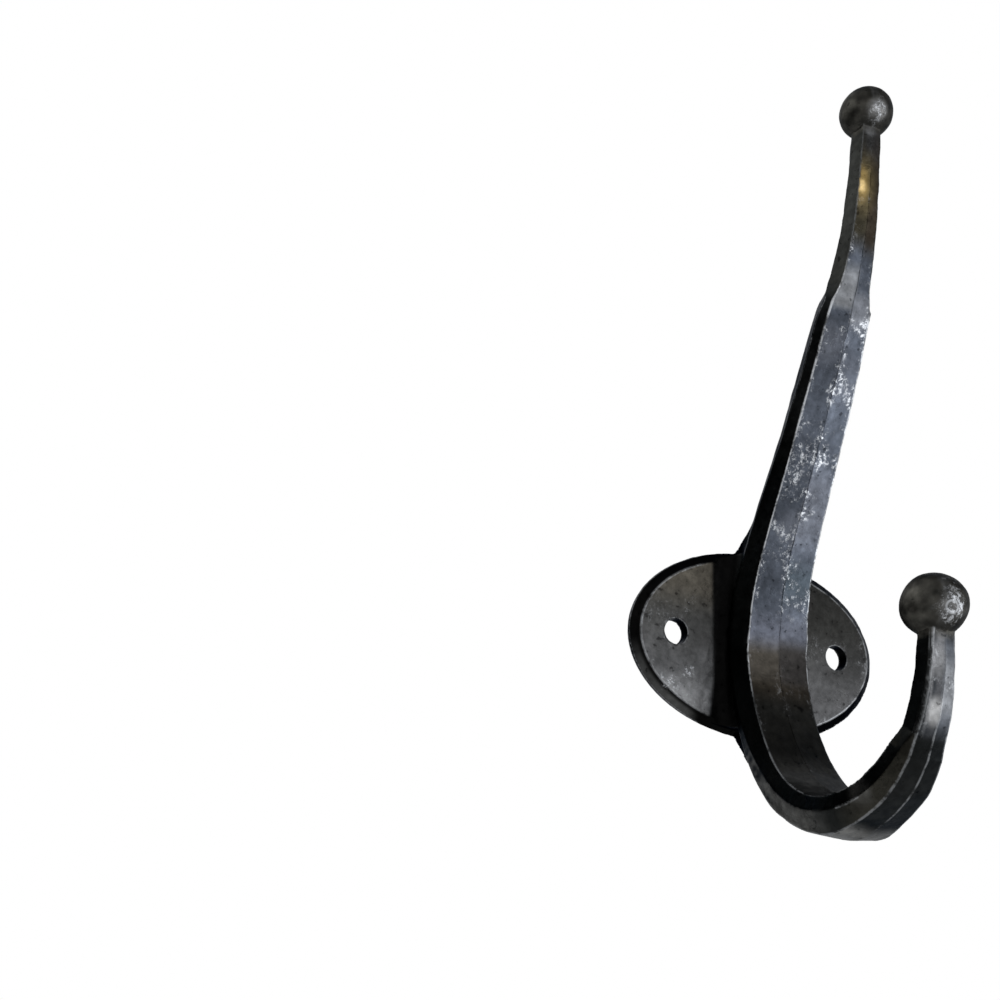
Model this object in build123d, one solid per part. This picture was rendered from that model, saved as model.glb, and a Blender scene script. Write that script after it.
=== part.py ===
from build123d import *
import os
from collections import namedtuple

# Hat and coat hook: one iron casting. An oval back plate, and an arm that grows out of it:
# up through a leaning shank and a thin neck to the hat ball, and down round a bowl and a
# thin tip to the coat ball. The wall is the plane y = 0, the room is towards -Y, +Z is up,
# and x = 0 is the parting plane of the casting. Sizes are in millimetres.

# --- back plate ---------------------------------------------------------------------------
PLATE_WIDTH = 63.8
PLATE_HEIGHT = 42.5
PLATE_THICKNESS = 3.0
PLATE_RIM = 1.2              # height of the edge, before the bevel starts
RIM_DRAFT = 0.4              # the back of the plate is smaller all round by this much
BEVEL_WIDTH = 2.2            # how far the bevel runs in over the face
HOLE_SPACING = 42.0
HOLE_DIAMETER = 5.6

# --- balls --------------------------------------------------------------------------------
HAT_BALL_DIAMETER = 11.8
HAT_BALL_DEPTH = 3.2         # the ball's middle lies this far behind the arm's face line
COAT_BALL_DIAMETER = 12.0
COAT_BALL_DEPTH = 1.0

# --- face line: the ridge down the middle of the arm's face, a chain of tangent arcs ------
FACE_OUT = 10.8              # the face stands this far from the wall at the root
ROOT_HEIGHT = 1.0            # height of the root, where the face is upright
LEAN_RADIUS = 45.0           # face curve between the root and the shank
LEAN_ANGLE = 24.8
SHANK_LENGTH = 49.0          # straight part
SWEEP_RADIUS = 102.0         # curve back to upright, through the neck
SWEEP_ANGLE = 18.6
HAT_END = 19.5               # straight from the sweep to the middle of the hat ball
HEEL_RADIUS = 43.5           # face curve below the root
HEEL_ANGLE = 39.7
BOWL_RADIUS = 19.0
BOWL_ANGLE = 103.5
TIP_RADIUS = 34.0
TIP_ANGLE = 33.2
COAT_END = 7.3               # straight from the tip to the middle of the coat ball

# --- where the steps in the arm lie, as shares of the sweep and of the tip ----------------
SHOULDER_FOOT = 0.17
SHOULDER_TOP = 0.31
KNEE_FOOT = 0.08
KNEE_TOP = 0.27

# --- arm sections -------------------------------------------------------------------------
# Half widths of the face, of the flank edge and of the back, and how deep the flank edge
# and the back lie behind the ridge of the face.
Section = namedtuple("Section", "face flank back flank_depth depth")
HAT_NECK = Section(face=2.1, flank=2.4, back=2.2, flank_depth=3.6, depth=5.3)
NECK_MIDDLE = Section(face=2.9, flank=3.6, back=2.6, flank_depth=4.1, depth=5.4)
NECK_FOOT = Section(face=3.8, flank=4.1, back=3.0, flank_depth=5.4, depth=6.8)
SHANK_TOP = Section(face=4.9, flank=6.3, back=4.6, flank_depth=1.8, depth=6.7)
SHANK_MIDDLE = Section(face=6.2, flank=7.5, back=5.4, flank_depth=3.6, depth=7.6)
SHANK_FOOT = Section(face=6.8, flank=7.8, back=6.5, flank_depth=5.3, depth=8.1)
ROOT = Section(face=7.6, flank=8.9, back=7.2, flank_depth=6.1, depth=8.6)
HEEL = Section(face=7.4, flank=8.4, back=7.8, flank_depth=4.9, depth=8.2)
BOWL_ENTRY = Section(face=7.5, flank=8.4, back=7.8, flank_depth=3.6, depth=7.9)
BOWL = Section(face=7.5, flank=7.9, back=6.1, flank_depth=3.3, depth=8.0)
FAR_BOWL = Section(face=6.9, flank=6.7, back=4.5, flank_depth=3.2, depth=6.5)
BOWL_EXIT = Section(face=6.1, flank=5.9, back=4.2, flank_depth=3.2, depth=6.2)
KNEE = Section(face=4.7, flank=4.7, back=3.6, flank_depth=3.3, depth=5.7)
TIP_FOOT = Section(face=3.3, flank=3.6, back=3.2, flank_depth=3.9, depth=5.1)
TIP_END = Section(face=3.1, flank=3.0, back=2.4, flank_depth=3.4, depth=4.5)
FACE_RISE = 0.5              # the ridge of the face stands proud of the face's edges
BACK_RISE = 0.5

# --- where the arm meets the plate --------------------------------------------------------
COVE_HALF_WIDTH = 11.3       # the hollow fillets run out this far over the plate's face
COVE_BITE = 0.5              # and this far into the flanks
WEB_TOP_HALF_WIDTH = 6.6     # web that carries the arm's back in to the plate's rim
WEB_UPPER_HALF_WIDTH = 6.0   # at the upper rim
WEB_LOWER_HALF_WIDTH = 5.2   # at the lower rim
WEB_FOOT_HALF_WIDTH = 9.4
WEB_INSET = 0.5              # it lands on the bevel, this far in from the rim
WEB_TOP = 0.19               # where the web leaves the arm, as shares of the shank
WEB_FOOT = 0.1               # and of the bowl
WEB_BITE = 0.8               # its ends start this far inside the arm's back

UP = (0, 1)                  # in sketches on Plane.YZ: first number is Y, second is Z
DOWN = (0, -1)


def face_line():
    """The face line's edges, as a dict, each drawn from the root outwards."""
    root = (-FACE_OUT, ROOT_HEIGHT)
    lean = JernArc(root, UP, LEAN_RADIUS, LEAN_ANGLE)
    shank = Line(lean @ 1, lean @ 1 + (lean % 1) * SHANK_LENGTH)
    sweep = JernArc(shank @ 1, shank % 1, SWEEP_RADIUS, -SWEEP_ANGLE)
    hat_end = Line(sweep @ 1, sweep @ 1 + (sweep % 1) * HAT_END)
    heel = JernArc(root, DOWN, HEEL_RADIUS, -HEEL_ANGLE)
    bowl = JernArc(heel @ 1, heel % 1, BOWL_RADIUS, -BOWL_ANGLE)
    tip = JernArc(bowl @ 1, bowl % 1, TIP_RADIUS, -TIP_ANGLE)
    coat_end = Line(tip @ 1, tip @ 1 + (tip % 1) * COAT_END)
    flat = dict(lean=lean, shank=shank, sweep=sweep, hat_end=hat_end,
                heel=heel, bowl=bowl, tip=tip, coat_end=coat_end)
    return {name: Plane.YZ * edge for name, edge in flat.items()}


LINE = face_line()
BELOW_ROOT = ("heel", "bowl", "tip", "coat_end")


def station(name, share):
    """Plane across the arm: origin on the face line, x across, y from the face to the back."""
    edge = LINE[name]
    along = edge % share
    if name in BELOW_ROOT:
        along = -along
    return Plane(origin=edge @ share, x_dir=(1, 0, 0), z_dir=along)


def outline(size):
    """Eight-sided section: gabled face, two faces on each flank, gabled back."""
    right = [(size.face, FACE_RISE), (size.flank, size.flank_depth), (size.back, size.depth - BACK_RISE)]
    left = [(-x, y) for x, y in reversed(right)]
    return make_face(Polyline((0, 0), *right, (0, size.depth), *left, close=True))


def between(a, b, share):
    """Section part of the way from one size to another."""
    return Section(*(p + (q - p) * share for p, q in zip(a, b)))


def skin(stops, ruled=False):
    """Sides of the arm through a list of (edge name, share along it, section size)."""
    rings = [(station(name, share) * outline(size)).face().outer_wire() for name, share, size in stops]
    return Shell.make_loft(rings, ruled=ruled)


def arm():
    """The arm: five skins that share their end sections, closed at both ends."""
    shank = [
        ("sweep", SHOULDER_FOOT, SHANK_TOP),
        ("shank", 1.0, between(SHANK_TOP, SHANK_MIDDLE, 0.4)),
        ("shank", 0.45, SHANK_MIDDLE),
        ("shank", 0.0, SHANK_FOOT),
        ("lean", 0.5, between(SHANK_FOOT, ROOT, 0.5)),
        ("lean", 0.0, ROOT),
        ("heel", 0.4, between(ROOT, HEEL, 0.5)),
        ("heel", 0.8, HEEL),
        ("bowl", 0.0, between(HEEL, BOWL_ENTRY, 0.7)),
        ("bowl", 0.15, BOWL_ENTRY),
        ("bowl", 0.3, between(BOWL_ENTRY, BOWL, 0.4)),
        ("bowl", 0.5, BOWL),
        ("bowl", 0.7, FAR_BOWL),
        ("bowl", 0.84, BOWL_EXIT),
        ("bowl", 0.96, between(BOWL_EXIT, KNEE, 0.6)),
        ("tip", KNEE_FOOT, KNEE),
    ]
    neck = [
        ("hat_end", 1.0, HAT_NECK),
        ("hat_end", 0.3, between(HAT_NECK, NECK_MIDDLE, 0.6)),
        ("sweep", 0.8, NECK_MIDDLE),
        ("sweep", 0.54, between(NECK_MIDDLE, NECK_FOOT, 0.4)),
        ("sweep", SHOULDER_TOP, NECK_FOOT),
    ]
    tip = [
        ("tip", KNEE_TOP, TIP_FOOT),
        ("tip", 0.65, between(TIP_FOOT, TIP_END, 0.5)),
        ("tip", 1.0, TIP_END),
        ("coat_end", 1.0, TIP_END),
    ]
    skins = [skin(neck), skin([neck[-1], shank[0]], ruled=True), skin(shank),
             skin([shank[-1], tip[0]], ruled=True), skin(tip)]
    sides = [face for part in skins for face in part.faces()]
    ends = [(station(name, share) * outline(size)).face() for name, share, size in (neck[0], tip[-1])]
    return Part() + Solid(Shell(sides + ends))


def ball(name, depth, diameter):
    """Ball at an end of the arm, set back from the face line."""
    return station(name, 1.0) * Pos(0, depth, 0) * Sphere(diameter / 2)


def plate_layer(inset, height):
    """The plate's oval, drawn in by the given inset, at a height off the wall."""
    oval = Ellipse(PLATE_WIDTH / 2 - inset, PLATE_HEIGHT / 2 - inset)
    return Plane.XZ.offset(height) * oval


def plate():
    """Oval with a drafted rim, widest where the bevel starts."""
    rim = loft([plate_layer(RIM_DRAFT, 0), plate_layer(0, PLATE_RIM)], ruled=True)
    bevel = loft([plate_layer(0, PLATE_RIM), plate_layer(BEVEL_WIDTH, PLATE_THICKNESS)], ruled=True)
    return rim + bevel


def web_side_view():
    """The root from the side: a hollow curve above and a straight slope below run to the rim."""
    rim = PLATE_HEIGHT / 2 - WEB_INSET
    top = (station("shank", WEB_TOP) * Pos(0, SHANK_FOOT.depth - WEB_BITE, 0)).position
    foot = (station("bowl", WEB_FOOT) * Pos(0, BOWL_ENTRY.depth - WEB_BITE, 0)).position
    core = [(station(name, share) * Pos(0, ROOT.depth / 2, 0)).position
            for name, share in (("bowl", WEB_FOOT), ("heel", 0.4), ("lean", 0.4), ("shank", WEB_TOP))]
    return make_face([
        TangentArc(top, (0, 0, rim - RIM_DRAFT), tangent=-station("shank", WEB_TOP).z_dir),
        Polyline((0, 0, rim - RIM_DRAFT), (0, 0, RIM_DRAFT - rim), (0, -PLATE_RIM, -rim), foot),
        Polyline(foot, *core, top),
    ])


def web():
    """Fills between the arm's back and the wall, narrowest at the plate's lower rim."""
    rim = PLATE_HEIGHT / 2
    right = [(WEB_TOP_HALF_WIDTH, 2 * rim), (WEB_UPPER_HALF_WIDTH, rim),
             (WEB_LOWER_HALF_WIDTH, -rim), (WEB_FOOT_HALF_WIDTH, -2 * rim)]
    left = [(-x, z) for x, z in reversed(right)]
    front_view = Plane.XZ * make_face(Polyline(*right, *left, close=True))
    side_view = extrude(web_side_view(), PLATE_WIDTH / 2, dir=(1, 0, 0), both=True)
    return side_view & extrude(front_view, PLATE_WIDTH, both=True)


def cove_layer(name, share, size):
    """Level section of the root: hollow fillets from inside the flanks out to the plate's face."""
    edge = (station(name, share) * Pos(size.flank - COVE_BITE, size.flank_depth - COVE_BITE, 0)).position
    toe = (COVE_HALF_WIDTH, -PLATE_THICKNESS)
    floor = -PLATE_THICKNESS / 2
    right = [TangentArc(toe, (edge.X, edge.Y), tangent=(-1, 0)), Line(toe, (toe[0], floor))]
    left = [line.mirror(Plane.YZ) for line in right]
    across = [Line((-toe[0], floor), (toe[0], floor)), Line((-edge.X, edge.Y), (edge.X, edge.Y))]
    return Plane.XY.offset(edge.Z) * make_face([*right, *left, *across])


def coves():
    """Hollow fillets beside the root, kept within the web's side view and the plate's oval."""
    hollow = loft([
        cove_layer("heel", 0.8, HEEL),
        cove_layer("heel", 0.4, between(ROOT, HEEL, 0.5)),
        cove_layer("lean", 0.0, ROOT),
        cove_layer("lean", 0.5, between(ROOT, SHANK_FOOT, 0.5)),
        cove_layer("shank", 0.0, SHANK_FOOT),
    ])
    hollow &= extrude(web_side_view(), PLATE_WIDTH / 2, dir=(1, 0, 0), both=True)
    return hollow & extrude(plate_layer(BEVEL_WIDTH / 2, 0), FACE_OUT, dir=(0, -1, 0))


def build_hook():
    body = plate() + web() + coves() + arm()
    body += ball("hat_end", HAT_BALL_DEPTH, HAT_BALL_DIAMETER)
    body += ball("coat_end", COAT_BALL_DEPTH, COAT_BALL_DIAMETER)
    hole = Plane.XZ * Pos(0, 0, -1) * Cylinder(HOLE_DIAMETER / 2, 3 * PLATE_THICKNESS)
    for side in (-1, 1):
        body -= Pos(side * HOLE_SPACING / 2, 0, 0) * hole
    return body


hook = build_hook()
os.makedirs("parts", exist_ok=True)
export_step(hook, "parts/hook_casting.step")
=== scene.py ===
import bmesh
import bpy
import math
import numpy as np
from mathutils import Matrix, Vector
from mathutils.bvhtree import BVHTree
from mathutils.kdtree import KDTree


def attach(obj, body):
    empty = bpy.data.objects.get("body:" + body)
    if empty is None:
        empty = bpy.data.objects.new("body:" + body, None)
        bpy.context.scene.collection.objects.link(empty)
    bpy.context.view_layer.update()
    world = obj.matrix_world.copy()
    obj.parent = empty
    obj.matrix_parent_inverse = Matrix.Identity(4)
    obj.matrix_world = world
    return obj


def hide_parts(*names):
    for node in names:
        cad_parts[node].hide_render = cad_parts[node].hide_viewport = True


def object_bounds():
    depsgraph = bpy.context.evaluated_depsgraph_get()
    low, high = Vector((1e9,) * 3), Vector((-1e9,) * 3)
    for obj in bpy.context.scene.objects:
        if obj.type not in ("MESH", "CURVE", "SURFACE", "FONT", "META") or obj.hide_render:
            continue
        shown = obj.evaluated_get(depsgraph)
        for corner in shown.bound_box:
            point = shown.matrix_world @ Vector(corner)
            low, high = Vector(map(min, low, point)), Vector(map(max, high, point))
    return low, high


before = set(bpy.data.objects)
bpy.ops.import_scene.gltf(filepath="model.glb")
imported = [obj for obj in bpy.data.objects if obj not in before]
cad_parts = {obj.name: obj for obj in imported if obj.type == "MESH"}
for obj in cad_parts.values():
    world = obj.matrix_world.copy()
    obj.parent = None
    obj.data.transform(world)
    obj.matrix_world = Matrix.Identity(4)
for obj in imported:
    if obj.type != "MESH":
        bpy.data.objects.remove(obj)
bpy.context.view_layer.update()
MM = 0.001

# fine mesh
VOXEL = 0.40 * MM        # distance between its points
WELD = 0.002 * MM        # CAD points closer than this are one
LINE_STEP = 0.12 * MM    # distance between the points along a CAD edge
SHARP_BEND = 7.5         # degrees: a CAD edge that bends more stays an edge
WORN_BEND = 32           # degrees: an outward edge that bends more can be worn bright, which also paints its highlight
SNAP = 0.68              # share of a voxel from which a point moves onto an edge

# dressing of the faces, in millimetres
DENT = 0.05
PITTING = 0.009
CHIP = 0.05
SINK = 0.05              # holds the dented face inside the CAD's face

# lean of the shank's face to the right, in millimetres; the face's line is an arc, then a straight
LEAN = 0.55
ARC_Y, ARC_Z, ARC_RADIUS = -55.8, 1.0, 45.0
STRAIGHT_ANGLE = math.radians(24.8)

# tints of the iron, linear, painted light and shade among them: where no other tint lies, and the painted
# deep shade
PLAIN = (0.040, 0.041, 0.041)
DEEP_SHADE = (0.010, 0.011, 0.011)
# painted shade in the coves where the arm meets the plate, and on the plate's sides
COVE_SHADE = (0.003, 0.003, 0.003)
# plate
PLATE_UP = (0.022, 0.022, 0.021)
PLATE_LEFT = (0.033, 0.033, 0.032)
PLATE_TOP = (0.052, 0.046, 0.036)
PLATE_LOW = (0.080, 0.081, 0.084)
PLATE_PALE = (0.180, 0.183, 0.188)
BEVEL = (0.046, 0.047, 0.047)
# face of the shank and the root, downwards
BLUE = (0.056, 0.064, 0.080)
LIGHT = (0.092, 0.100, 0.120)
SHADE = (0.038, 0.047, 0.057)
ROOT = (0.080, 0.087, 0.108)
BROWN = (0.050, 0.045, 0.038)
DUSK = (0.035, 0.033, 0.032)
DUN = (0.026, 0.022, 0.017)
HEEL = (0.014, 0.014, 0.013)
SILL = (0.048, 0.048, 0.046)
# neck
DULL = (0.038, 0.039, 0.036)
PALE = (0.165, 0.172, 0.184)
SHOULDER = (0.112, 0.119, 0.135)
OLIVE = (0.029, 0.026, 0.018)
UMBER = (0.040, 0.033, 0.025)
# bowl
SIDE = (0.100, 0.100, 0.096)
BOTTOM = (0.160, 0.160, 0.155)
OUTER = (0.016, 0.017, 0.017)
FLANK = (0.031, 0.030, 0.025)
# tip
TIP_RIGHT = (0.076, 0.083, 0.096)
TIP_LEFT = (0.034, 0.037, 0.042)
TIP_HIGHLIGHT = (0.122, 0.127, 0.136)
TIP_RIDGE = (0.066, 0.068, 0.074)
SILVER = (0.160, 0.163, 0.170)
BRIGHT = (0.330, 0.333, 0.338)
# balls
BALL = (0.052, 0.050, 0.044)
BALL_LEFT = (0.120, 0.117, 0.103)
BALL_LOW = (0.014, 0.014, 0.013)
# scratched and worn metal, also the painted highlight along worn edges
BARE_AND_GLINT = (0.52, 0.54, 0.57)

# places in millimetres
BALL_REACH = 7.3
BALLS = [  # middle, place of the painted highlight, its lightness
    ((0, -43.2, 115.9), (-0.6, -48.3, 113.4), 0.20),
    ((0, -58.8, -0.6), (-0.7, -64.5, -2.0), 0.09),
]
GOLD = [  # tint, middle, radius, squeeze along z
    ((0.090, 0.072, 0.038), (-1.2, -44.0, 96.5), 4.2, 0.42),
    ((0.24, 0.170, 0.065), (-1.8, -44.0, 96.3), 2.1, 0.36),
    ((0.62, 0.46, 0.21), (-1.9, -44.0, 95.9), 1.25, 0.55),
]
PATCHES = [  # middle, radius and strength of the spots where scratches crowd
    ((-3.4, -21.9, 34.3), 3.8, 0.8), ((1.4, -24.0, 38.6), 3.4, 0.8),
    ((2.6, -18.2, 26.9), 4.4, 1.0), ((-2.8, -16.5, 23.2), 4.6, 1.1),
    ((1.8, -29.6, 52.0), 5.5, 1.0), ((2.4, -31.6, 56.4), 4.0, 0.7),
    ((4.2, -36.0, 65.9), 3.8, 0.6), ((-18.0, -3.0, 5.8), 3.0, 0.45),
    ((-17.4, -3.0, -8.2), 2.6, 0.6), ((-22.2, -3.0, -11.4), 2.8, 0.65),
]

# the photo's camera, solved from the plate's oval, its holes and the balls
LENS = 38.467                                   # mm, on a sensor 36 mm wide
CAMERA_PLACE = (-0.13359, -0.21035, -0.04884)
CAMERA_TURN = (108.032, -5.161, -20.043)        # degrees about x, y and z


# --- mesh helpers -------------------------------------------------------------------------
def coords(mesh):
    co = np.empty(len(mesh.vertices) * 3)
    mesh.vertices.foreach_get("co", co)
    return co.reshape(-1, 3)


def normals(mesh):
    no = np.empty(len(mesh.vertices) * 3, np.float32)
    mesh.vertex_normals.foreach_get("vector", no)
    return no.reshape(-1, 3).astype(float)


def edges(mesh):
    ed = np.empty(len(mesh.edges) * 2, np.int32)
    mesh.edges.foreach_get("vertices", ed)
    return ed.reshape(-1, 2)


def put(mesh, co):
    mesh.vertices.foreach_set("co", co.astype(np.float32).ravel())
    mesh.update()


def attribute(mesh, name, values):
    mesh.attributes.new(name, "FLOAT", "POINT").data.foreach_set("value", values.astype(np.float32))


def eased(co, ed, share):
    """Each point moved by a share of the way to the mean of its neighbours."""
    count = np.bincount(ed.ravel(), minlength=len(co))[:, None]
    total = np.stack([np.bincount(ed[:, 0], co[ed[:, 1], axis], len(co))
                      + np.bincount(ed[:, 1], co[ed[:, 0], axis], len(co))
                      for axis in range(3)], 1)
    return co + share * (total / np.maximum(count, 1) - co)


def waves(co, size, seed, octaves=3):
    """Smooth seeded noise from about -1 to 1, whose largest lumps are about `size` metres."""
    count, finer, fainter = 7, 1.8, 0.6
    rng = np.random.default_rng(seed)
    total = np.zeros(len(co))
    weight = 0
    for octave in range(octaves):
        strength = fainter ** octave
        for _ in range(count):
            direction = rng.normal(size=3)
            direction /= np.linalg.norm(direction)
            pitch = size / finer ** octave * rng.uniform(0.75, 1.35)
            total += np.sin(co @ direction * 2 * math.pi / pitch + rng.uniform(0, 6.28)) * strength
        weight += count * strength ** 2
    return total / math.sqrt(weight) * 0.9


def ramp(x, low, high):
    """0 up to low, 1 from high on, and a smooth step between them."""
    t = np.clip((x - low) / (high - low), 0, 1)
    return t * t * (3 - 2 * t)


def band(x, middle, reach, core):
    """1 within core of the middle, falling to 0 at reach."""
    return ramp(-np.abs(x - middle), -reach, -core)


def near(co, centre, radius, squeeze=1.0):
    """1 at a point in millimetres, falling to 0 at the radius. A squeeze under 1 draws it out along z."""
    scale = np.array([1, 1, squeeze])
    d = np.linalg.norm(co * scale / MM - np.array(centre, float) * scale, axis=1)
    return ramp(-d, -radius, -radius * 0.25)


# --- fine mesh of the casting -------------------------------------------------------------
def point_tree(points):
    tree = KDTree(len(points))
    for i, point in enumerate(points):
        tree.insert(point, i)
    tree.balance()
    return tree


def cad_lines(mesh):
    """Sharp edges of the CAD mesh as points close together: all of them, and the outward ones."""
    bm = bmesh.new()
    bm.from_mesh(mesh)
    bmesh.ops.remove_doubles(bm, verts=bm.verts, dist=WELD)
    every, outward = [], []
    for edge in bm.edges:
        if len(edge.link_faces) != 2 or edge.calc_face_angle(0) < math.radians(SHARP_BEND):
            continue
        a, b = (v.co.copy() for v in edge.verts)
        steps = max(2, int((b - a).length / LINE_STEP))
        points = [a.lerp(b, i / steps) for i in range(steps + 1)]
        every += points
        if edge.is_convex and edge.calc_face_angle(0) > math.radians(WORN_BEND):
            outward += points
    bm.free()
    return point_tree(every), point_tree(outward)


def on_skin(co, skin):
    return np.array([skin.find_nearest(place)[0] for place in co])


def cut_quads(mesh, co, sharp):
    """Corners of the remeshed quads cut in two, along the sharp edge wherever one crosses a quad."""
    quads = np.empty(len(mesh.loops), np.int32)
    mesh.loops.foreach_get("vertex_index", quads)
    quads = quads.reshape(-1, 4)
    a, b, c, d = (sharp[quads[:, k]] for k in range(4))
    span = [np.linalg.norm(co[quads[:, k]] - co[quads[:, k + 2]], axis=1) for k in range(2)]
    turned = np.where((a & c) == (b & d), span[1] < span[0], b & d)
    quads[turned] = np.roll(quads[turned], -1, axis=1)
    return np.concatenate([quads[:, [0, 1, 2]], quads[:, [0, 2, 3]]])


def dense_copy(node):
    """The node as an even, fine mesh on the CAD's faces and edges, and each point's distance
    from the nearest outward edge."""
    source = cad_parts[node].data
    piece = bpy.data.objects.new("iron_hook", source.copy())
    bpy.context.scene.collection.objects.link(piece)
    remesh = piece.modifiers.new("even", "REMESH")
    remesh.mode = "VOXEL"
    remesh.voxel_size = VOXEL
    mesh = bpy.data.meshes.new_from_object(piece.evaluated_get(bpy.context.evaluated_depsgraph_get()))
    piece.modifiers.clear()
    skin = BVHTree.FromPolygons([v.co for v in source.vertices], [p.vertices for p in source.polygons])
    every, outward = cad_lines(source)

    co = on_skin(coords(mesh), skin)
    nearest = [every.find(place) for place in co]
    sharp = np.array([found[2] for found in nearest]) < SNAP * VOXEL
    co[sharp] = np.array([found[0] for found in nearest])[sharp]
    ed = edges(mesh)
    for _ in range(2):
        moved = on_skin(eased(co, ed, 0.6), skin)
        co[~sharp] = moved[~sharp]
    corners = cut_quads(mesh, co, sharp)
    to_edge = np.array([outward.find(place)[2] for place in co])
    piece.data = bpy.data.meshes.new("iron_hook")
    piece.data.from_pydata(eased(co, ed, 0.35).tolist(), [], corners.tolist())
    piece.data.shade_smooth()
    return piece, to_edge


def unfold(mesh, co):
    """Eases the few slivers that lie folded over or edge-on beside a sharp edge."""
    corners = np.array([polygon.vertices for polygon in mesh.polygons])
    ed = edges(mesh)
    for _ in range(20):
        a, b, c = (co[corners[:, k]] for k in range(3))
        face = np.cross(b - a, c - a)
        point = np.zeros_like(co)
        for k in range(3):
            for axis in range(3):
                point[:, axis] += np.bincount(corners[:, k], face[:, axis], len(co))
        size = np.linalg.norm(face, axis=1)
        point /= np.linalg.norm(point, axis=1)[:, None]
        agree = (face * point[corners].sum(1)).sum(1) / 3
        folded = agree < 0.52 * size
        tiny = size < 0.05 * np.median(size)
        poor = np.unique(corners[folded | tiny])
        co[poor] = eased(co, ed, 0.6)[poor]
    return co


def leaning_face(co):
    """How far each point of the shank's face leans to the right. The shank's back stays in place."""
    y, z = co[:, 1] / MM, co[:, 2] / MM
    across, along = math.cos(STRAIGHT_ANGLE), math.sin(STRAIGHT_ANGLE)
    joint_y, joint_z = ARC_Y + ARC_RADIUS * across, ARC_Z + ARC_RADIUS * along
    depth = np.where(z < joint_z, np.hypot(y - ARC_Y, z - ARC_Z) - ARC_RADIUS,
                     (y - joint_y) * across + (z - joint_z) * along)
    amount = LEAN * MM * ramp(z, -4, 3) * (1 - ramp(z, 57, 68)) * (1 - ramp(depth, 3, 7))
    return amount[:, None] * np.array([1, 0, 0])


def casting():
    """The dressed casting, which stands for the CAD solid."""
    piece, to_edge = dense_copy("hook_casting")
    mesh = piece.data
    co = coords(mesh)

    # hand-dressed faces: shallow dents, and chips out of the edges; the back stays flat
    back = ramp(co[:, 1], -0.6 * MM, -0.1 * MM)
    dents = waves(co, 9 * MM, seed=3) * DENT + waves(co, 2.6 * MM, seed=5, octaves=2) * PITTING
    chips = 1 - ramp(to_edge, 0.1 * MM, 0.7 * MM)
    chips *= np.clip(waves(co, 5.0 * MM, seed=8, octaves=2), -1, 0) * CHIP
    out = (dents - SINK + chips) * (1 - back) * MM
    co = unfold(mesh, co + normals(mesh) * out[:, None])
    put(mesh, co)
    attribute(mesh, "edge_mm", to_edge / MM)
    attribute(mesh, "across", co[:, 0])
    Tint(co, normals(mesh)).write(mesh)
    put(mesh, co + leaning_face(co))
    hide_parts("hook_casting")
    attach(piece, "root")
    return piece


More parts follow.
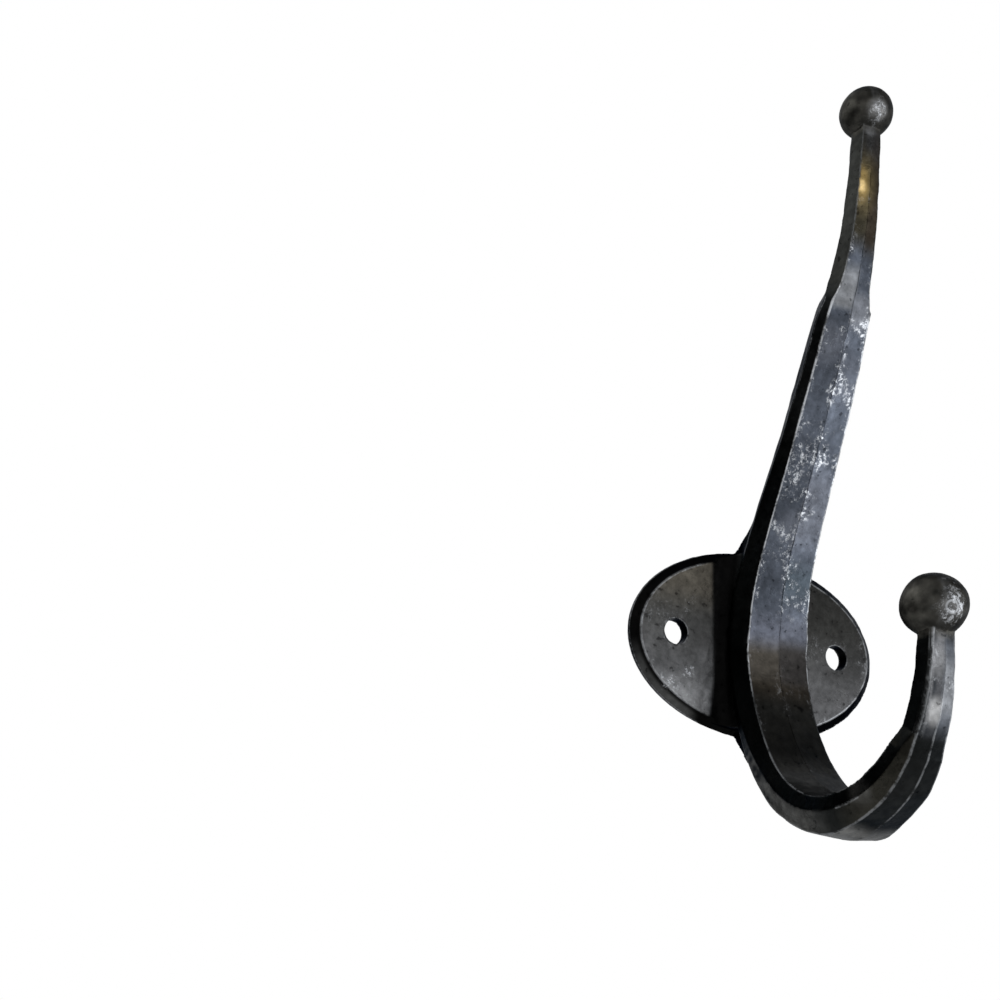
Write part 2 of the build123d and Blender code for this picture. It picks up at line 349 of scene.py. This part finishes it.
# --- tints --------------------------------------------------------------------------------
class Tint:
    """The iron's colour at each point with painted light and shade, laid on coat over coat, and where it
    is rubbed and worn.
    """

    def __init__(self, co, no):
        self.co = co
        self.place = x, y, z = (co / MM).T
        self.normal = nx, ny, _ = no.T
        self.colour = np.tile(np.array(PLAIN), (len(co), 1))

        # places that several coats keep to, as shares from 0 to 1
        self.arm = ramp(-y, 4.5, 6.5)
        self.level = 1 - ramp(np.abs(nx), 0.3, 0.5)
        self.front = ramp(-ny, 0.55, 0.8) * self.arm * self.level
        self.plate = ramp(-ny, 0.86, 0.97) * (1 - self.arm)
        self.coat = ramp(-y, 44, 48)
        self.stem = self.front * (1 - self.coat)
        self.tip = self.coat * ramp(z, -25, -20.5)
        self.tip_face = self.tip * self.front
        self.right = ramp(x, -0.3, 0.3)
        self.pale = self.front * ramp(z, 68, 70) * (1 - ramp(z, 75, 79.5)) * ramp(-x, -0.4, 0.4)
        self.raised = (1 - self.arm) * (1 - ramp(y, -0.5, -0.2))
        border = 12.0 + 0.04 * z + 0.14 * np.maximum(-z - 10, 0)
        self.cove = self.raised * ramp(border - np.abs(x), -0.3, 0.7)
        self.balls = [self.spot(middle, BALL_REACH) ** 0.25 for middle, _, _ in BALLS]

        self.lay_deep_shade()
        self.lay_plate()
        self.lay_shank()
        self.lay_neck()
        self.lay_bowl()
        self.lay_tip()
        self.lay_balls()
        for rgb, middle, radius, squeeze in GOLD:
            self.lay(rgb, self.spot(middle, radius, squeeze) * self.front)

    def lay(self, rgb, amount):
        amount = np.clip(amount, 0, 1)[:, None]
        self.colour = self.colour * (1 - amount) + np.array(rgb) * amount

    def spot(self, centre, radius, squeeze=1.0):
        return near(self.co, centre, radius, squeeze)

    def lay_deep_shade(self):
        """Painted deep shade on the arm's left side and underside, and painted shade on all of the plate
        but its back.
        """
        z = self.place[2]
        nx, ny, _ = self.normal
        # painted shade: the arm's left side, turned away from the key lamp, and its underside
        self.lay(DEEP_SHADE, self.arm * ramp(-nx, 0.35, 0.6) * (1 - ramp(ny, 0.5, 0.7)))
        self.lay(DEEP_SHADE, self.arm * ramp(-z, 14, 22))
        # painted shade on all of the plate but its back
        self.lay(COVE_SHADE, self.raised)

    def lay_plate(self):
        x, y, z = self.place
        ny = self.normal[1]
        left = self.plate * ramp(-x, 0, 5)
        self.lay(PLATE_UP, self.plate)
        self.lay(PLATE_LEFT, left)
        self.lay(PLATE_TOP, left * ramp(z, 3, 12) * 0.7)
        self.lay(PLATE_LOW, self.plate * ramp(-z, -7, 16))
        self.lay(PLATE_PALE, left * ramp(-z, 7, 16))
        # painted shade on the plate's lower left bevel
        bevel = (1 - self.arm) * ramp(-ny, 0.6, 0.72) * (1 - ramp(-ny, 0.84, 0.94)) * ramp(-x, 14, 17)
        self.lay(BEVEL, bevel * ramp(y, -2.6, -2.0) * ramp(-z, 2, 10) * ramp(-x, 11, 16))
        # painted shade in the coves where the arm meets the plate
        self.lay(COVE_SHADE, self.cove)

    def lay_shank(self):
        z = self.place[2]
        stem = self.stem
        right = stem * self.right
        self.lay(BLUE, stem)
        # painted light on the right facet, which faces the key lamp, in bands at z 29 and z 56, and
        # painted shade on it at z 13
        self.lay(LIGHT, right * band(z, 29, 11, 3))
        self.lay(SHADE, right * band(z, 13, 7, 1))
        self.lay(LIGHT, right * band(z, 56, 7, 2) * 0.45)
        self.lay(LIGHT, stem * self.spot((-3.8, -34.0, 61.5), 6.5) * 0.9)
        self.lay(LIGHT, stem * self.spot((-1.0, -17.5, 24.5), 5.5) * 0.8)
        self.lay(ROOT, stem * ramp(-z, -8, -2))
        self.lay(BROWN, stem * ramp(-z, -1.5, 4))
        self.lay(DUSK, right * ramp(-z, -1.5, 4))
        self.lay(DUN, stem * ramp(-z, 8, 11.5))
        # painted shade where the face turns into the bowl
        self.lay(HEEL, stem * ramp(-z, 9, 16))
        self.lay(SILL, self.arm * ramp(self.normal[2], 0.3, 0.6) * self.level * ramp(-z, 24, 32))

    def lay_neck(self):
        z = self.place[2]
        self.lay(DULL, ramp(z, 70, 75) * (1 - self.front))
        self.lay(PALE, self.pale)
        self.lay(SHOULDER, self.front * self.right * ramp(z, 64.5, 67) * (1 - ramp(z, 71, 74)))
        self.lay(OLIVE, self.front * ramp(z, 79, 86))
        self.lay(UMBER, self.front * ramp(z, 79, 86) * self.right)

    def lay_bowl(self):
        _, y, z = self.place
        nx, _, nz = self.normal
        under = ramp(-nz, 0.3, 0.7) * ramp(-z, 20, 26)
        lowest = ramp(-nz, 0.78, 0.92) * (1 - ramp(np.abs(nx), 0.25, 0.45)) * under
        side = ramp(-nx, 0.5, 0.8) * ramp(-nz, 0.07, 0.16) * ramp(-z, 22, 28)
        far = self.arm * ramp(-y, 38, 46) * ramp(-z, 21, 26)
        # painted light on the bowl's faces that turn down towards the floor: its left faces and its
        # lowest ones
        self.lay(SIDE, side * (1 - ramp(-y, 27, 40)))
        self.lay(BOTTOM, lowest * (1 - ramp(-y, 39.5, 44)))
        # painted shade on the underside of the bowl's far part
        self.lay(OUTER, under * ramp(-y, 40, 46))
        self.lay(FLANK, far * ramp(-nx, 0.5, 0.7) * (1 - ramp(-nx, 0.93, 0.97)))
        # painted light on a left face low in the bowl
        self.lay(SIDE, self.spot((-6.3, -45.8, -33.6), 3.4) * ramp(-nx, 0.7, 0.9))

    def lay_tip(self):
        """The tip's faces, with painted light on the right facet, painted shade on the left one and under
        the lower ball, painted highlights, and the two pale spots under the balls.
        """
        x, _, z = self.place
        face = self.tip_face
        left = face * ramp(-x, -0.2, 0.6)
        # painted light on the tip's right facet, painted shade on its left one
        self.lay(TIP_RIGHT, face)
        self.lay(TIP_LEFT, left)
        # painted highlight across the right facet, then painted shade at its top under the lower ball
        self.lay(TIP_HIGHLIGHT, face * self.right * band(z, -15.5, 7, 2))
        self.lay(TIP_LEFT, face * self.right * ramp(z, -9.5, -7))
        # painted highlights: along the ridge, down the face, and a bright one low on the left
        self.lay(TIP_RIDGE, left * ramp(x, -1.9, -1.0))
        self.lay(SILVER, self.spot((-1.4, -61.4, -10.8), 2.0, 0.4) * face)
        self.lay(BRIGHT, self.spot((-0.9, -59.6, -19.8), 2.3, 0.6) * self.front * ramp(-x, -0.5, 0.2))
        # painted deep shade on the tip's left flank
        self.lay(DEEP_SHADE, self.tip * ramp(-x, 2.35, 2.75))
        # painted highlight along the face's left edge
        self.lay(SILVER, face * band(x, -2.25, 0.38, 0.12) * 0.7)
        # painted shade just under the lower ball
        self.lay(BALL_LOW, face * ramp(z, -6.6, -5.6) * ramp(x, -1.4, -0.6))
        self.lay(SILVER, self.spot((-1.0, -61.8, -6.8), 1.2))
        self.lay(SILVER, self.spot((-0.6, -45.6, 109.8), 1.9) * self.front * 0.8)

    def lay_balls(self):
        nx, ny, nz = self.normal
        mottled = 1 + 0.35 * waves(self.co, 3.2 * MM, seed=21)[:, None]
        for ball, (_, highlight_place, lightness) in zip(self.balls, BALLS):
            self.lay(np.array(BALL) * mottled, ball)
            # painted light on the balls' left sides
            self.lay(np.array(BALL_LEFT) * mottled, ball * ramp(-nx, 0.78, 0.98))
            # painted highlight
            self.lay(lightness * mottled, self.spot(highlight_place, 3.3))
            # painted shade on the balls' undersides
            self.lay(BALL_LOW, ball * ramp(-nz, 0.42, 0.8) * ramp(-ny, 0.2, 0.45))

    def crowding(self):
        """How much denser than elsewhere the bright scratches lie."""
        more = -0.8 * self.pale
        for _, highlight_place, _ in BALLS:
            # scratches crowd in the balls' painted highlights and streak them
            more += 0.6 * self.spot(highlight_place, 4.4) + 0.5 * self.spot(highlight_place, 2.6)
        for centre, radius, strength in PATCHES:
            more += strength * self.spot(centre, radius)
        return more

    def rubbed(self):
        """How bright the scratches are."""
        z = self.place[2]
        amount = self.stem * (0.15 + 0.85 * ramp(z, 2, 12))
        amount += 0.22 * self.plate * (1 - self.cove) * ramp(-z, -12, 0)
        amount += 0.5 * self.tip_face
        amount *= 1 - 0.5 * ramp(z, 80, 84) - 0.45 * ramp(z, 96, 100)
        return amount

    def wear_and_glint(self):
        """How brightly the edges have worn, which also paints their highlight: the front ones of the
        shank most, the hidden ones least.
        """
        x, y, z = self.place
        ny = self.normal[1]
        facing = ramp(-ny, 0.35, 0.6)
        shank = self.arm * facing * ramp(z, -22, 4) * (1 - self.coat) * ramp(-y, 9, 11)
        plate = 0.32 * (1 - self.arm) * facing * (1 - band(x, 0, 15, 13))
        bowl = 0.28 * ramp(-z, 10, 24) * ramp(-y, 12, 20)
        tip = 0.6 * self.coat * ramp(z, -32, -20) * ramp(-ny, 0.5, 0.8)
        amount = np.maximum.reduce([shank, plate, bowl, tip])
        amount *= 1 - ramp(z, 72, 80) * (0.85 + 0.15 * ramp(x, 0, 1))
        return amount * (1 - 0.7 * self.tip * ramp(-x, 2.4, 2.9))

    def write(self, mesh):
        _, y, z = self.place
        upward = 1 - ramp(-self.normal[2], 0.85, 0.98)
        crowding = self.crowding()
        attribute(mesh, "speckle", crowding)
        attribute(mesh, "rubbed", np.clip(self.rubbed() + np.maximum(crowding, 0), 0, 1))
        attribute(mesh, "dull", sum(self.balls))
        attribute(mesh, "crest", ramp(-y, 40, 48) * ramp(-z, 14, 22) * upward)
        attribute(mesh, "wear_and_glint", self.wear_and_glint())
        attribute(mesh, "seam", self.stem * (1 - ramp(z, 98, 104)))
        layer = mesh.attributes.new("iron_colour_and_painted_light", "FLOAT_COLOR", "POINT")
        rgba = np.c_[self.colour, np.ones(len(self.colour))]
        layer.data.foreach_set("color", rgba.astype(np.float32).ravel())


# --- material -----------------------------------------------------------------------------
class Nodes:
    """Short ways to add and join shader nodes. A value is a number or another node's output."""

    def __init__(self, owner):
        owner.use_nodes = True
        self.tree = owner.node_tree
        self.tree.nodes.clear()

    def add(self, kind, **settings):
        node = self.tree.nodes.new("ShaderNode" + kind)
        for name, value in settings.items():
            setattr(node, name, value)
        return node

    def join(self, a, b):
        self.tree.links.new(a, b)

    def math(self, operation, a, b=0.0, clamp=False):
        node = self.add("Math", operation=operation, use_clamp=clamp)
        for socket, value in zip(node.inputs, (a, b)):
            if isinstance(value, (int, float)):
                socket.default_value = value
            else:
                self.join(value, socket)
        return node.outputs[0]

    def plus(self, a, b):
        return self.math("ADD", a, b)

    def minus(self, a, b):
        return self.math("SUBTRACT", a, b)

    def times(self, a, b):
        return self.math("MULTIPLY", a, b)

    def absolute(self, a):
        return self.math("ABSOLUTE", a)

    def larger(self, a, b):
        """The larger of two values, and at most 1."""
        return self.math("MAXIMUM", a, b, clamp=True)

    def blend(self, share, colour, rgb):
        """A colour mixed with a fixed one. Sockets 6 and 7 are the two that mix colours."""
        node = self.add("Mix", data_type="RGBA")
        self.join(share, node.inputs[0])
        self.join(colour, node.inputs[6])
        node.inputs[7].default_value = (*rgb, 1)
        return node.outputs[2]

    def scaled(self, colour, share):
        node = self.add("VectorMath", operation="SCALE")
        self.join(colour, node.inputs[0])
        self.join(share, node.inputs["Scale"])
        return node.outputs[0]

    def noise(self, scale, detail, roughness=0.55, stretch=None, distortion=0.0):
        place = self.add("TexCoord").outputs["Object"]
        if stretch:
            mapping = self.add("Mapping")
            mapping.inputs["Scale"].default_value = stretch
            self.join(place, mapping.inputs["Vector"])
            place = mapping.outputs[0]
        node = self.add("TexNoise")
        node.inputs["Scale"].default_value = scale
        node.inputs["Detail"].default_value = detail
        node.inputs["Roughness"].default_value = roughness
        node.inputs["Distortion"].default_value = distortion
        self.join(place, node.inputs["Vector"])
        return node.outputs[0]

    def step(self, value, low, high, a=0.0, b=1.0):
        node = self.add("MapRange", interpolation_type="SMOOTHSTEP")
        self.join(value, node.inputs["Value"])
        for name, number in (("From Min", low), ("From Max", high), ("To Min", a), ("To Max", b)):
            node.inputs[name].default_value = number
        return node.outputs[0]

    def read(self, name, output="Fac"):
        return self.add("Attribute", attribute_name=name).outputs[output]


def blacked_and_shaded(n, off_ridge):
    """Uneven blacking: broad clouds, small mottling, pits and the dark seam along the ridge, over tints
    that hold painted light and shade.
    """
    cloud = n.step(n.noise(90, 5), 0.35, 0.68, 0.78, 1.22)
    mottle = n.step(n.noise(650, 4, 0.6), 0.3, 0.7, 0.82, 1.2)
    pitted = n.step(n.noise(640, 3, 0.5), 0.30, 0.36, 0.45, 1.0)
    crease = n.times(n.step(off_ridge, 0.03 * MM, 0.22 * MM, 1.0, 0.0), n.read("seam"))
    crease = n.times(crease, n.step(n.noise(170, 5, 0.7), 0.42, 0.62, 0.1, 0.6))
    shade = n.times(n.times(cloud, mottle), n.times(pitted, n.minus(1.0, crease)))
    return n.scaled(n.read("iron_colour_and_painted_light", "Color"), shade)


def scratches(n, edge, off_ridge):
    """Bright scratches in patches, thickest along the edges and the ridge."""
    speckle = n.read("speckle")
    by_edge = n.step(edge, 0.2, 2.4, 0.12, 0.0)
    by_ridge = n.step(off_ridge, 0.2 * MM, 2.0 * MM, 0.09, 0.0)
    closer = n.plus(n.plus(by_edge, by_ridge), n.times(speckle, 0.13))
    patch = n.step(n.plus(n.noise(105, 5, 0.66), closer), 0.535, 0.655)
    fleck = n.plus(n.noise(1000, 7, 0.80, distortion=0.35), n.times(speckle, 0.05))
    fleck = n.step(fleck, 0.52, 0.64)
    scratch = n.step(n.noise(900, 5, 0.7, stretch=(1, 1, 0.25), distortion=0.6), 0.59, 0.66)
    return n.times(n.math("MAXIMUM", fleck, scratch), n.times(patch, n.read("rubbed")))


def bare_metal_and_glint(n, off_ridge):
    """Share of uncovered metal: the scratches, the worn edges and ridge, the edges also carrying a
    painted highlight, and the ring on the ball.
    """
    edge = n.read("edge_mm")
    broken = n.step(n.noise(330, 6, 0.7), 0.36, 0.56, 0.1, 1.0)
    line = n.times(n.times(n.step(edge, 0.10, 0.42, 1.0, 0.0), broken), n.read("wear_and_glint"))
    crest = n.times(n.step(off_ridge, 0.06 * MM, 0.32 * MM, 0.26, 0.0), broken)
    crest = n.times(crest, n.read("crest"))
    bare_and_glint = n.larger(n.times(scratches(n, edge, off_ridge), 0.85), n.times(line, 0.85))
    return n.larger(n.math("MAXIMUM", bare_and_glint, crest), ring_mark(n))


def ring_mark(n):
    """Small worn ring on the outer side of the lower ball."""
    gap = n.add("VectorMath", operation="DISTANCE")
    n.join(n.add("TexCoord").outputs["Object"], gap.inputs[0])
    gap.inputs[1].default_value = [c * MM for c in BALLS[1][1]]
    off = n.absolute(n.minus(gap.outputs["Value"], 1.1 * MM))
    return n.times(n.step(off, 0.08 * MM, 0.30 * MM, 1.0, 0.0), 0.42)


def grain(n, ridge):
    """Fine relief of the cast skin, and the step of the seam."""
    fine = n.times(n.noise(1700, 4, 0.6), 0.35)
    pits = n.times(n.step(n.noise(520, 5, 0.6), 0.28, 0.5), 0.8)
    height = n.plus(n.plus(fine, pits), n.step(ridge, -0.15 * MM, 0.15 * MM, 0.0, 1.2))
    bump = n.add("Bump")
    bump.inputs["Strength"].default_value = 0.35
    bump.inputs["Distance"].default_value = 0.12 * MM
    n.join(height, bump.inputs["Height"])
    return bump.outputs[0]


def iron():
    """Cast iron with its blacking, painted light and shade in its tints, its metal showing where it is
    scratched or worn, the worn edges also painting their highlight.
    """
    material = bpy.data.materials.new("antique_iron")
    n = Nodes(material)
    ridge = n.plus(n.read("across"), n.times(n.minus(n.noise(160, 3), 0.5), 0.6 * MM))
    off_ridge = n.absolute(ridge)
    bare_and_glint = bare_metal_and_glint(n, off_ridge)
    rough = n.step(n.noise(210, 4, 0.6), 0.3, 0.7, 0.33, 0.45)
    rough = n.plus(rough, n.times(n.read("dull"), 0.13))

    shader = n.add("BsdfPrincipled")
    shader.inputs["Metallic"].default_value = 1.0
    shader.inputs["Specular Tint"].default_value = (0.45, 0.46, 0.48, 1)
    n.join(n.blend(bare_and_glint, blacked_and_shaded(n, off_ridge), BARE_AND_GLINT), shader.inputs["Base Color"])
    n.join(n.minus(rough, n.times(bare_and_glint, 0.05)), shader.inputs["Roughness"])
    n.join(grain(n, ridge), shader.inputs["Normal"])
    n.join(shader.outputs[0], n.add("OutputMaterial").inputs["Surface"])
    return material


# --- room: white floor and surroundings, soft lamps, dark cards ---------------------------
FLOOR_SIZE = 3.2
FLOOR_LEVEL = -0.20


def white_share(n):
    """1 for the rays that see the background itself, 0 for those that light the object."""
    path = n.add("LightPath")
    seen = n.math("ADD", path.outputs["Is Camera Ray"], path.outputs["Is Glossy Ray"], clamp=True)
    return n.math("ADD", seen, path.outputs["Is Transmission Ray"], clamp=True)


def surroundings():
    world = bpy.data.worlds.new("white")
    bpy.context.scene.world = world
    n = Nodes(world)
    back = n.add("Background")
    back.inputs["Color"].default_value = (1, 1, 1, 1)
    n.join(n.plus(n.times(white_share(n), 0.75), 0.25), back.inputs["Strength"])
    n.join(back.outputs[0], n.add("OutputWorld").inputs["Surface"])


def board(name, width, height):
    """Flat rectangle that faces up, with a new material of its own."""
    w, h = width / 2, height / 2
    mesh = bpy.data.meshes.new(name)
    mesh.from_pydata([(-w, -h, 0), (w, -h, 0), (w, h, 0), (-w, h, 0)], [], [(0, 1, 2, 3)])
    mesh.materials.append(bpy.data.materials.new(name))
    obj = bpy.data.objects.new(name, mesh)
    bpy.context.scene.collection.objects.link(obj)
    return obj


def floor():
    """White to the camera and in reflections, light grey to the rays that light the object."""
    ground = board("floor", FLOOR_SIZE, FLOOR_SIZE)
    ground.location.z = FLOOR_LEVEL
    n = Nodes(ground.data.materials[0])
    matt = n.add("BsdfDiffuse")
    matt.inputs["Color"].default_value = (0.8, 0.8, 0.8, 1)
    mix = n.add("MixShader")
    n.join(white_share(n), mix.inputs[0])
    n.join(matt.outputs[0], mix.inputs[1])
    n.join(n.add("Emission").outputs[0], mix.inputs[2])
    n.join(mix.outputs[0], n.add("OutputMaterial").inputs["Surface"])


def stand_off(obj, direction, distance):
    """Puts a lamp or a card at a distance from the middle of the hook, so that it faces it."""
    away = Vector(direction).normalized()
    obj.location = CENTRE + away * distance
    obj.rotation_mode = "QUATERNION"
    obj.rotation_quaternion = away.to_track_quat("Z", "Y")


def lamp(name, direction, distance, size, power, tint):
    """Soft square lamp."""
    data = bpy.data.lights.new(name, "AREA")
    data.shape = "SQUARE"
    data.size = size
    data.energy = power
    data.color = tint
    light = bpy.data.objects.new(name, data)
    stand_off(light, direction, distance)
    bpy.context.scene.collection.objects.link(light)


def card(name, direction, distance, width, height, glow, rise=0.0):
    """Dark card that the camera doesn't see: it dims what one side of the iron mirrors."""
    panel = board(name, width, height)
    stand_off(panel, direction, distance)
    panel.location.z += rise
    n = Nodes(panel.data.materials[0])
    light = n.add("Emission")
    light.inputs["Strength"].default_value = glow
    n.join(light.outputs[0], n.add("OutputMaterial").inputs["Surface"])
    panel.visible_camera = False
    panel.visible_transmission = False


def camera():
    """The photo's camera."""
    data = bpy.data.cameras.new("camera")
    data.sensor_width = 36
    data.lens = LENS
    data.clip_start = 0.01
    obj = bpy.data.objects.new("camera", data)
    obj.location = CAMERA_PLACE
    obj.rotation_euler = [math.radians(angle) for angle in CAMERA_TURN]
    bpy.context.scene.collection.objects.link(obj)
    bpy.context.scene.camera = obj


bpy.context.scene.view_settings.view_transform = "Standard"
low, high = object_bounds()
CENTRE = (low + high) / 2
camera()
surroundings()
floor()
lamp("key", (0.77, -0.57, -0.30), distance=0.55, size=0.34, power=1.0, tint=(0.97, 0.985, 1.0))
lamp("front", (0.37, -0.90, 0.24), distance=0.60, size=0.20, power=0.40, tint=(0.95, 0.97, 1.0))
card("left_card", (-0.94, 0.34, 0.0), distance=0.40, width=0.66, height=0.38, glow=0.01, rise=-0.05)
card("brow_card", (0.10, -0.45, 0.89), distance=0.42, width=0.60, height=0.50, glow=0.45)
hook = casting()
hook.data.materials.append(iron())
